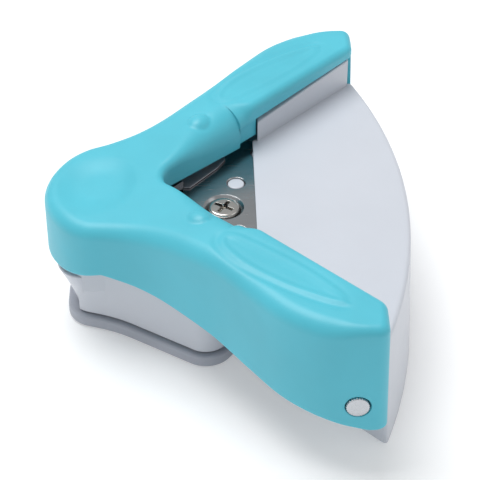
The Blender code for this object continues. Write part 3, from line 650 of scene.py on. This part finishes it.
def build_lever():
    """Lever shell: one skin from the top's edge round the rim and up inside to the ceiling."""
    dense = lever_plan()
    ends = crossings(dense, 1, -END_WALL_Y, lambda p: p[0] > 39)
    ends += crossings(dense, 1, END_WALL_Y, lambda p: p[0] > 39)
    stops = crossings(dense, 0, WALL_END_X, lambda p: abs(p[1]) < WALL_END_X + 1)
    a, d = sorted(ends)
    b, c = sorted(stops)
    plan, place, total = resampled(dense, SKIN_STEP, (a, b, c, d))
    x = plan[:, 0]
    lip = ((place > a) & (place < b)) | ((place > c) & (place < d))
    wall = (place > b) & (place < c)
    in_v = (place > a) & (place < d)
    bottom = np.where(lip, lip_bottom(x), np.where(wall, wall_bottom(x), skirt_bottom(x)))
    ceiling = lever_top(x) - SHELL
    distance = np.minimum((a - place) % total, (place - d) % total)
    outer = 1.5 + 0.3 * ramp(0.0, 4.0, distance) + 1.4 * ramp(8.0, 16.0, distance)
    fillet = np.where(in_v, v_fillet(x), outer - 0.4 * ramp(2.0, -12.0, x))
    low = np.where(lip, 0.25, 0.5)
    rise = np.where(lip, np.minimum(fillet, v_rise(x + 0.1)), fillet)

    body = Body()
    rows = []
    for angle in np.radians(np.linspace(90, 0, 26)):
        ring = inset(plan, fillet * (1 - math.cos(angle)))
        height = lever_surface(ring[:, 0], ring[:, 1]) if angle > 0.6 else lever_top(ring[:, 0])
        rows.append(body.ring(ring, height - rise * (1 - math.sin(angle))))
    start, end = lever_top(x) - rise, bottom + low
    for share in (0.03, 0.15, 0.35, 0.55, 0.75, 0.9, 0.98):
        height = start + (end - start) * share
        rows.append(body.ring(leaned(plan, height), height))
    for angle in np.radians(np.linspace(0, 90, 6)):
        ring = inset(plan, low * (1 - math.cos(angle)))
        height = bottom + low * (1 - math.sin(angle))
        rows.append(body.ring(leaned(ring, height), height))
    low_in = np.minimum(0.45, (ceiling - v_drop(x, plan[:, 1]) - bottom) * 0.3)
    low_in = np.clip(low_in, 0.1, None)
    for angle in np.radians(np.linspace(90, 0, 5)):
        ring = inset(plan, SHELL - low_in * (1 - math.cos(angle)))
        height = bottom + low_in * (1 - math.sin(angle))
        rows.append(body.ring(leaned(ring, height), height))
    within = inset(plan, SHELL)
    rows.append(body.ring(within, ceiling - v_drop(within[:, 0], within[:, 1])))
    for first, second in zip(rows, rows[1:]):
        body.join(first, second)
    body.cap(rows[0], lever_surface, SKIN_STEP)
    body.cap(rows[-1], lambda px, py: lever_top(px) - SHELL - v_drop(px, py), 1.0)

    skin = piece("lever_skin", body.mesh(), TURQUOISE, None)
    for side in (1, -1):
        reach = (44.0 * side, 50.0 * side)
        hole = [(PIN_HOLE_RADIUS, y) for y in sorted(reach)]
        cut(skin, side_turned(HINGE_X, HINGE_Z, hole))
        seat = [(2.32, 47.5 * side), (2.35, 48.2 * side), (2.45, 48.4 * side), (2.7, 48.6 * side)]
        cut(skin, side_turned(HINGE_X, HINGE_Z, seat))
        plan = [(WALL_END_X - 0.3, (WALL_END_X - 0.3 + STEP_BACK) * side),
                (STEP_END_X, (STEP_END_X + STEP_BACK) * side),
                (STEP_END_X, (STEP_END_X + 2.3) * side),
                (WALL_END_X - 0.3, (WALL_END_X + 2.0) * side)][::side]
        unite(skin, prism(plan, (float(wall_bottom(WALL_END_X)) + 0.6, 31.5)))
    unite(skin, block(*PRESS_PAD))
    settle(skin, 38)
    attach(skin, "lever")
    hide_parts("lever_shell")


# Tray

def fan_plan(radius, room, edge_x, tip=1.2, steps=150):
    """Plan of the fan; its flanks follow |Y| = X + room and the tips are rounded."""
    offset = FAN_CENTRE_X + room
    far_y = (offset + math.sqrt(2 * radius ** 2 - offset ** 2)) / 2
    far_angle = math.asin(far_y / radius) - tip / radius
    arc_points = [(FAN_CENTRE_X + radius * math.cos(a), radius * math.sin(a))
                  for a in np.linspace(-far_angle, far_angle, steps)]
    low_y = edge_x + room
    corner = Vector((FAN_CENTRE_X + radius * math.cos(far_angle + tip / radius), far_y))
    flank = corner - Vector((1, 1)).normalized() * tip
    rounding = []
    begin = Vector(arc_points[-1])
    for k in range(1, 8):
        t = k / 8
        rounding.append(tuple(begin * (1 - t) ** 2 + corner * 2 * t * (1 - t) + flank * t ** 2))
    far = rounding + [tuple(flank)]
    near = [(x, -y) for x, y in reversed(far)]
    straight = [(edge_x, low_y), (edge_x, -low_y)]
    return np.array(straight + near + arc_points + far)


def build_tray():
    """Fan with its fences, hollow from below; its outer wall leans out a little on the way down."""
    room = FAN_SIDE_TOP
    rings = [(fan_plan(FAN_RADIUS + 1.2, FAN_SIDE_LOW, TRAY_EDGE_X), 0.0),
             (fan_plan(FAN_RADIUS + 0.43, FAN_SIDE_LOW, TRAY_EDGE_X), 16.0),
             (fan_plan(FAN_RADIUS + 0.17, room, TRAY_EDGE_X), 21.5),
             (fan_plan(FAN_RADIUS + 0.03, room, TRAY_EDGE_X), TRAY_TOP - 1.2)]
    rim = 0.9
    for angle in np.radians(np.linspace(0, 90, 8)):
        back = rim * (1 - math.cos(angle))
        rings.append((fan_plan(FAN_RADIUS - back, room, TRAY_EDGE_X),
                      TRAY_TOP - rim * (1 - math.sin(angle)) * 0.8))
    rings.append((inset(rings[-1][0], 0.4), TRAY_TOP))
    tray = piece("tray_skin", stack(rings), WHITE, None)
    for side in (1, -1):
        unite(tray, fence(side))
    within = FAN_SIDE_LOW - 2.55
    radius = FAN_RADIUS - WALL_THICKNESS
    hollow = [(fan_plan(radius + 1.2, within, TRAY_HOLLOW_X), -1.0),
              (fan_plan(radius, within, TRAY_HOLLOW_X), SHEET_BOTTOM)]
    cut(tray, stack(hollow))
    cut(tray, block((10.0, 30.4), (-40.0, 40.0), (-1.0, 22.6)))
    cut(tray, block((10.0, 24.3), (-40.0, 40.0), (20.0, 24.3)))
    for side in (1, -1):
        hole = [(TRAY_SCREW_HOLE, 20.0), (TRAY_SCREW_HOLE, 24.4)]
        cut(tray, turned((TRAY_SCREW[0], TRAY_SCREW[1] * side), hole, 24))
    settle(tray, 30)
    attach(tray, "base")
    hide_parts("fan_tray")


def fence(side):
    """Guide rib with a softened top, running at 45 degrees along the sheet's edge."""
    slope = (FENCE_TOP[1] - FENCE_TOP[0]) / (FENCE_X[1] - FENCE_X[0])
    thick = FENCE_WIDTH / math.sqrt(2)
    soft = 0.35
    section = [(0.0, 0.0)]
    for angle in np.radians(np.linspace(180, 90, 5)):
        section.append((soft + soft * math.cos(angle), -soft + soft * math.sin(angle)))
    for angle in np.radians(np.linspace(90, 0, 5)):
        section.append((thick - soft + soft * math.cos(angle), -soft + soft * math.sin(angle)))
    section.append((thick, 0.0))
    bm = bmesh.new()
    rows = []
    for x in np.linspace(FENCE_X[0], FENCE_X[1], 8):
        top = FENCE_TOP[0] + slope * (x - FENCE_X[0])
        row = []
        for index, (across, drop) in enumerate(section):
            base = index in (0, len(section) - 1)
            z = TRAY_TOP - 0.5 if base else top + drop
            row.append(bm.verts.new((x, (x + across * math.sqrt(2)) * side, z)))
        rows.append(row)
    count = len(section)
    for a, b in zip(rows, rows[1:]):
        for i in range(count):
            j = (i + 1) % count
            bm.faces.new((a[i], a[j], b[j], b[i]))
    bm.faces.new(rows[0])
    bm.faces.new(rows[-1])
    bmesh.ops.recalc_face_normals(bm, faces=bm.faces)
    return bm


# Plates, pegs and screws

def punch_plan(clearance):
    """Plan of the cutting end, open backwards far enough to cut through the die plate's edge."""
    radius = CUT_RADIUS - clearance
    centre_x = CUT_RADIUS * math.sqrt(2)
    half = PUNCH_HALF_WIDTH + clearance
    tip = half + clearance * math.sqrt(2)
    back = PUNCH_BACK_X - clearance - 4.0
    turn = np.radians(np.linspace(225, 135, 24))
    front = np.column_stack([centre_x + radius * np.cos(turn), radius * np.sin(turn)])
    return np.vstack([[(back, -half), (tip, -half)], front, [(tip, half), (back, half)]])


def build_plates():
    """Die plate with its cutting opening, holes with broken edges and the die screw's seat."""
    half = [(24.0, 22.0, 1.0), (12.0, 22.0, 3.0), (3.0, 17.2, 3.0), (-6.0, 11.2, 1.0)]
    plan = counter_clockwise(rounded(mirrored(half)))
    edge = 0.12
    rings = [(plan, DIE_Z[0]), (plan, DIE_Z[1] - edge), (inset(plan, edge), DIE_Z[1])]
    die = piece("die_skin", stack(rings), PLATE, None)
    cut(die, prism(punch_plan(PUNCH_GAP), (20.0, 26.0)))
    holes = [((DIE_SCREW_X, 0.0), DIE_SCREW_HOLE)]
    for side in (1, -1):
        holes += [((px, py * side), PEG_RADIUS + 0.15) for px, py in PEG_PLACES]
        holes.append(((STRIP_SCREW[0], STRIP_SCREW[1] * side), STRIP_SCREW_HOLE + 0.1))
    for place, radius in holes:
        rim = [(radius, 20.0), (radius, DIE_Z[1] - 0.15), (radius + 0.4, DIE_Z[1] + 0.25)]
        cut(die, turned(place, rim, 48))
    seat = [(3.04, DIE_SCREW_SEAT_Z), (3.12, DIE_SCREW_SEAT_Z + 0.15), (3.7, DIE_Z[1] - 0.2),
            (4.15, DIE_Z[1] + 0.15)]
    cut(die, turned((DIE_SCREW_X, 0.0), seat, 72))
    settle(die, 30)
    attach(die, "base")
    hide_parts("die_plate")


def cross_tool(place, top, reach, width, depth):
    """Tapered cross for a Phillips recess."""
    tools = []
    for turn in (0.0, math.pi / 2):
        bm = bmesh.new()
        bmesh.ops.create_cube(bm, size=1.0)
        for v in bm.verts:
            shrink = 0.75 if v.co.z < 0 else 1.0
            v.co = Vector((v.co.x * 2 * reach * shrink, v.co.y * width * (0.5 + shrink / 2),
                           v.co.z * (depth + 0.3)))
        shift = Vector((place[0], place[1], top + 0.3 - (depth + 0.3) / 2))
        bm.transform(Matrix.Translation(shift) @ Matrix.Rotation(turn - 0.56, 4, "Z"))
        tools.append(bm)
    tools.append(turned(place, [(0.12, top - depth * 1.15), (width * 1.15, top + 0.2)], 24))
    return tools


def build_die_screw():
    """Phillips screw with a rounded head, seated just under the die plate's face."""
    place = (DIE_SCREW_X, 0.0)
    low = DIE_SCREW_SEAT_Z + 0.15
    head = 1.0
    profile = [(0.9, 16.0), (1.45, 16.8), (1.45, low), (2.85, low), (3.0, low + 0.12)]
    profile += arc(0.5, 2.5, low + head - 0.5, 0, 78, 7)
    profile += [(2.1, low + head - 0.01), (1.2, low + head)]
    screw = piece("die_screw_skin", turned(place, profile, 72), NICKEL, None)
    for tool in cross_tool(place, low + head, 2.1, 0.8, 1.3):
        cut(screw, tool)
    settle(screw, 34)
    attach(screw, "base")
    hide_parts("die_screw")


def build_pins():
    """Hinge pins whose heads have a fine knurl."""
    for side, label in SIDES:
        bm = bmesh.new()
        teeth, fine = 26, 8
        steps = teeth * fine
        rows = []
        seat, face = 47.65, 48.6
        head = PIN_HEAD_RADIUS
        profile = [(PIN_RADIUS, 42.5, 0.0), (PIN_RADIUS, seat, 0.0), (head - 0.15, seat, 0.0),
                   (head, seat + 0.15, 1.0), (head, face - 0.28, 1.0),
                   (head - 0.15, face - 0.06, 0.5), (head - 0.35, face, 0.0), (1.2, face, 0.0)]
        for radius, y, scallop in profile:
            row = []
            for k in range(steps):
                turn = math.tau * k / steps
                dent = 0.13 * scallop * (0.5 - 0.5 * math.cos(turn * teeth))
                r = radius - dent
                row.append(bm.verts.new((HINGE_X + r * math.cos(turn), y * side,
                                         HINGE_Z + r * math.sin(turn))))
            rows.append(row)
        for a, b in zip(rows, rows[1:]):
            for i in range(steps):
                j = (i + 1) % steps
                bm.faces.new((a[i], a[j], b[j], b[i]))
        bm.faces.new(rows[0])
        bm.faces.new(rows[-1])
        bmesh.ops.recalc_face_normals(bm, faces=bm.faces)
        piece(f"pin_skin_{label}", bm, PIN, "base", f"hinge_pin_{label}", 40)


def build_springs():
    """Return springs with closed ends, standing in the guide block's pockets."""
    wire, coil, turns = 0.22, 1.45, 7
    low, high = 11.02, 20.58
    around, sides = 28, 10
    count = turns * around
    closed = 0.8 / turns
    for side, label in SIDES:
        x, y = SPRING_PLACE[0], SPRING_PLACE[1] * side
        bm = bmesh.new()
        rows = []
        for i in range(count + 1):
            angle = math.tau * i / around
            share = min(1.0, max(0.0, (i / count - closed) / (1 - 2 * closed)))
            radial = Vector((math.cos(angle), math.sin(angle), 0))
            centre = Vector((x, y, low + (high - low) * share)) + radial * coil
            row = []
            for k in range(sides):
                turn = math.tau * k / sides
                offset = radial * wire * math.cos(turn) + Vector((0, 0, wire * math.sin(turn)))
                row.append(bm.verts.new(centre + offset))
            rows.append(row)
        for a, b in zip(rows, rows[1:]):
            for k in range(sides):
                j = (k + 1) % sides
                bm.faces.new((a[k], a[j], b[j], b[k]))
        bm.faces.new(rows[0])
        bm.faces.new(rows[-1])
        bmesh.ops.recalc_face_normals(bm, faces=bm.faces)
        made = piece(f"spring_skin_{label}", bm, SPRING, "base", f"return_spring_{label}", 50)
        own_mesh(made)


# Base

def foot_plan(distance=0.0):
    """Plan of the foot: a rounded triangle with slightly hollow flanks."""
    half = [(17.0, 13.5, 5.0), (10.8, 21.8, 5.5), (-8.5, 9.3, 30.0), (-18.1, 6.2, 5.8)]
    plan = counter_clockwise(resampled(rounded(mirrored(half), 3.0), 0.6)[0])
    return inset(plan, distance) if distance else plan


def foot_ring(distance):
    """The foot's plan moved inwards and cut off flat at the nose, where the thumb lip starts."""
    plan = foot_plan(distance)
    nose = FOOT_NOSE_X + distance - CAP_OVERHANG
    return np.column_stack([np.maximum(plan[:, 0], nose), plan[:, 1]])


def deck_plan():
    """Plan of the deck with its two arms, which end in the hinge posts."""
    side = [(6.0, 19.6), (12.0, 25.6), (18.0, 33.0), (24.0, 39.5), (30.0, 43.4), (34.5, 45.5),
            (POST_X[1], POST_Y[1]), (POST_X[1], POST_Y[0]), (POST_X[0], POST_Y[0]),
            (POST_X[0], 35.1), (29.8, 32.6)]
    far = [(-14.7, 7.5), (-6.0, 11.6), (0.5, 15.2)] + side
    near = [(x, -y) for x, y in reversed(far)]
    return np.array((far + near)[::-1])


def build_base():
    """Deck, hollow foot, thumb lip, guide block, pegs, boss and hinge posts in one piece."""
    base = piece("base_skin", prism(deck_plan(), DECK_Z), WHITE, None)
    outer = foot_ring(CAP_OVERHANG)
    walls = [(inset(outer, 0.25), FOOT_LOW), (outer, FOOT_LOW + 0.25), (outer, 12.0), (outer, 20.5)]
    unite(base, stack(walls))
    room = foot_ring(CAP_OVERHANG + FOOT_WALL)
    cut(base, prism(room, (FOOT_LOW - 1.0, 19.9)))
    lip = piece("thumb_lip", thumb_lip(), WHITE, None)
    cut(lip, prism(foot_ring(CAP_OVERHANG + FOOT_WALL / 2), (FOOT_LOW - 1.0, 20.0)))
    unite(base, taken(lip))
    unite(base, block(*GUIDE_BLOCK))
    for spans in BASE_ROOMS:
        cut(base, block(*spans))
    boss = [(DIE_BOSS_RADIUS, 14.5), (DIE_BOSS_RADIUS, 20.5)]
    unite(base, turned((DIE_SCREW_X, 0), boss, 48))
    bore = DIE_SCREW_HOLE - 0.05
    cut(base, turned((DIE_SCREW_X, 0), [(bore, 15.0), (bore, 30.0)], 32))
    for side in (1, -1):
        pocket = [(SPRING_POCKET, 10.5), (SPRING_POCKET, 25.0)]
        cut(base, turned((SPRING_PLACE[0], SPRING_PLACE[1] * side), pocket, 32))
        for px, py in PEG_PLACES:
            peg = [(PEG_RADIUS, 21.0), (PEG_RADIUS, PEG_SHOULDER)]
            peg += arc(PEG_EDGE, PEG_RADIUS - PEG_EDGE, PEG_SHOULDER, 15, 90, 4)
            unite(base, turned((px, py * side), peg, 40))
        hole = [(STRIP_SCREW_HOLE, 17.2), (STRIP_SCREW_HOLE, 30.0)]
        cut(base, turned((STRIP_SCREW[0], STRIP_SCREW[1] * side), hole, 24))
        hole = [(TRAY_SCREW_HOLE, 10.0), (TRAY_SCREW_HOLE, 30.0)]
        cut(base, turned((TRAY_SCREW[0], TRAY_SCREW[1] * side), hole, 24))
        post = sorted((POST_Y[0] * side, POST_Y[1] * side))
        unite(base, block(POST_X, post, (12.5, 20.5)))
        hole = sorted((40.0 * side, 50.0 * side))
        cut(base, side_turned(HINGE_X, HINGE_Z, [(PIN_HOLE_RADIUS, y) for y in hole], 32))
    settle(base, 34)
    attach(base, "base")
    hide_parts("base_frame")


def thumb_lip():
    """Flared nose under the thumb: it leans out like a bow and ends in a flat ledge."""
    heights = np.linspace(FOOT_LOW, THUMB_LIP_TOP - 0.25, 16)
    rings = []
    for z in list(heights) + [THUMB_LIP_TOP]:
        lean = ((z - FOOT_LOW) / (THUMB_LIP_TOP - FOOT_LOW)) ** 1.3
        nose = -16.3 - 3.6 * lean - (0.0 if z < THUMB_LIP_TOP else -0.25)
        half_y = 6.0 if z < THUMB_LIP_TOP else 5.75
        corners = [(-5.0, -7.0, 0), (nose, -half_y, 5.4), (nose, half_y, 5.4), (-5.0, 7.0, 0)]
        rings.append((counter_clockwise(rounded(corners, 4.0)), z))
    return stack(rings)


def build_cap():
    """Foot cap with rounded edges and a spigot that fits inside the foot."""
    outline = foot_plan()
    soft = 0.55
    rings = []
    for angle in np.radians(np.linspace(-90, 0, 6)):
        rings.append((inset(outline, soft * (1 - math.cos(angle))), soft * (1 + math.sin(angle))))
    for angle in np.radians(np.linspace(0, 90, 7)):
        rings.append((inset(outline, soft * (1 - math.cos(angle))),
                      CAP_TOP - soft * (1 - math.sin(angle))))
    cap = piece("cap_skin", stack(rings), GRAY, None)
    spigot = CAP_OVERHANG + FOOT_WALL + 0.3
    unite(cap, prism(foot_ring(spigot), (1.0, 8.0)))
    cut(cap, prism(foot_ring(spigot + 1.1), (1.5, 10.0)))
    settle(cap, 34)
    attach(cap, "cap")
    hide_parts("chip_cap")


# CAD nodes that stay

def dress():
    """Finishes for the CAD nodes that no skin replaces."""
    finishes = {
        # the guide strips take the steel copy whose lighter colour is painted light
        "guide_strip_far": STRIP_PAINTED_LIGHT, "guide_strip_near": STRIP_PAINTED_LIGHT, "press_plate": PLATE,
        "stop_washer": PLATE, "punch_blade": TOOL, "punch_carrier": NATURAL,
    }
    for name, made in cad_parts.items():
        if made.hide_render:
            continue
        finish = finishes.get(name, NICKEL)
        made.data.materials.clear()
        made.data.materials.append(finish)


# Studio

def build_floor():
    bm = bmesh.new()
    bmesh.ops.create_grid(bm, x_segments=1, y_segments=1, size=1.5)
    mesh = bpy.data.meshes.new("floor")
    bm.to_mesh(mesh)
    bm.free()
    floor = bpy.data.objects.new("floor", mesh)
    bpy.context.scene.collection.objects.link(floor)
    floor.location.z = -0.0002
    made = bpy.data.materials.new("floor")
    made.use_nodes = True
    shader = made.node_tree.nodes["Principled BSDF"]
    shader.inputs["Base Color"].default_value = (0.80, 0.805, 0.81, 1)
    shader.inputs["Roughness"].default_value = 0.75
    shader.inputs["Emission Color"].default_value = (1.0, 1.0, 1.0, 1)
    shader.inputs["Emission Strength"].default_value = 0.25
    mesh.materials.append(made)


def lamp(name, place, size, power, colour=(1, 1, 1)):
    """Round area light turned to the object; sizes and places are in metres."""
    data = bpy.data.lights.new(name, "AREA")
    data.shape = "DISK"
    data.size = size
    data.energy = power
    data.color = colour
    made = bpy.data.objects.new(name, data)
    bpy.context.scene.collection.objects.link(made)
    made.location = place
    made.rotation_mode = "QUATERNION"
    aim = Vector((0.012, 0.0, 0.02)) - Vector(place)
    made.rotation_quaternion = aim.to_track_quat("-Z", "Y")


def build_studio():
    build_floor()
    world = bpy.data.worlds.new("studio")
    world.use_nodes = True
    sky = world.node_tree.nodes["Background"]
    sky.inputs["Color"].default_value = (0.97, 0.985, 1.0, 1)
    sky.inputs["Strength"].default_value = 0.50
    bpy.context.scene.world = world
    lamp("key", (-0.16, 0.14, 0.64), 0.50, 3.7)
    lamp("fill", (-0.10, -0.55, 0.38), 0.5, 0.08, (0.97, 0.98, 1.0))
    lamp("side", (0.55, -0.10, 0.35), 0.4, 0.25)
    bpy.context.scene.view_settings.view_transform = "Standard"


def build_camera():
    azimuth, elevation = math.radians(-1.4), math.radians(38.8)
    across = Vector((-math.sin(azimuth), math.cos(azimuth), 0))
    forward = across * math.cos(elevation) - Vector((0, 0, math.sin(elevation)))
    data = bpy.data.cameras.new("camera")
    data.lens = 127.5
    data.sensor_width = 36.0
    made = bpy.data.objects.new("camera", data)
    bpy.context.scene.collection.objects.link(made)
    made.location = Vector((16.2, -10.357, 24.0)) * MM - forward * 0.323
    made.rotation_mode = "QUATERNION"
    made.rotation_quaternion = forward.to_track_quat("-Z", "Y")
    bpy.context.scene.camera = made


build_lever()
build_tray()
build_plates()
build_die_screw()
build_pins()
build_springs()
build_base()
build_cap()
dress()
build_studio()
build_camera()
